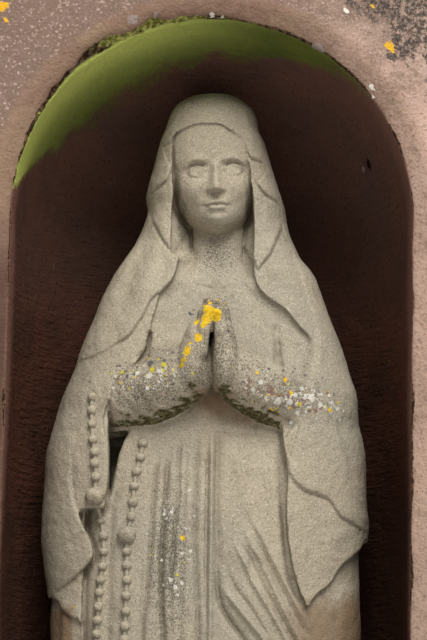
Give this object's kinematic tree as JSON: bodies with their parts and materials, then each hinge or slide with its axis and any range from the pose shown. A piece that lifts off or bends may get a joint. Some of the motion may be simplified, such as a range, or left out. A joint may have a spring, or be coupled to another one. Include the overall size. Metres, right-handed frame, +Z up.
{
  "type": "wayside shrine",
  "caption": "Free-standing sandstone pillar shrine with a stepped base, moulded pedestal, round-headed niche holding a carved praying figure, gabled roof and cross.",
  "frame": {"origin": "on the ground, under the middle of the lower step", "axes": "+Z up, the niche faces -Y, +X to the right as seen from the front"},
  "size_m": [1.22, 1, 3.491],
  "materials": {
    "red_sandstone": "weathered, finely tooled",
    "roof_stone": "weathered, with lichen and dark crust",
    "step_stone": "worn, coarse",
    "fill": "rubble and lime mortar",
    "pale_sandstone": "weathered fine-grained carving with lichen"
  },
  "bodies": {
    "root": {"lower_step_front": "step_stone", "lower_step_back": "step_stone", "lower_step_left": "step_stone", "lower_step_right": "step_stone", "step_core": "fill", "upper_step_front": "step_stone", "upper_step_back": "step_stone", "plinth": "red_sandstone", "pedestal_die": "red_sandstone", "pedestal_cornice": "red_sandstone", "niche_sill": "red_sandstone", "jamb_left": "red_sandstone", "jamb_right": "red_sandstone", "niche_head": "red_sandstone", "eaves_cornice": "red_sandstone", "gable_block": "red_sandstone", "roof_slab_left": "roof_stone", "roof_slab_right": "roof_stone", "ridge_saddle": "red_sandstone", "cross": "red_sandstone", "statue": "pale_sandstone"}
  },
  "joints": []
}
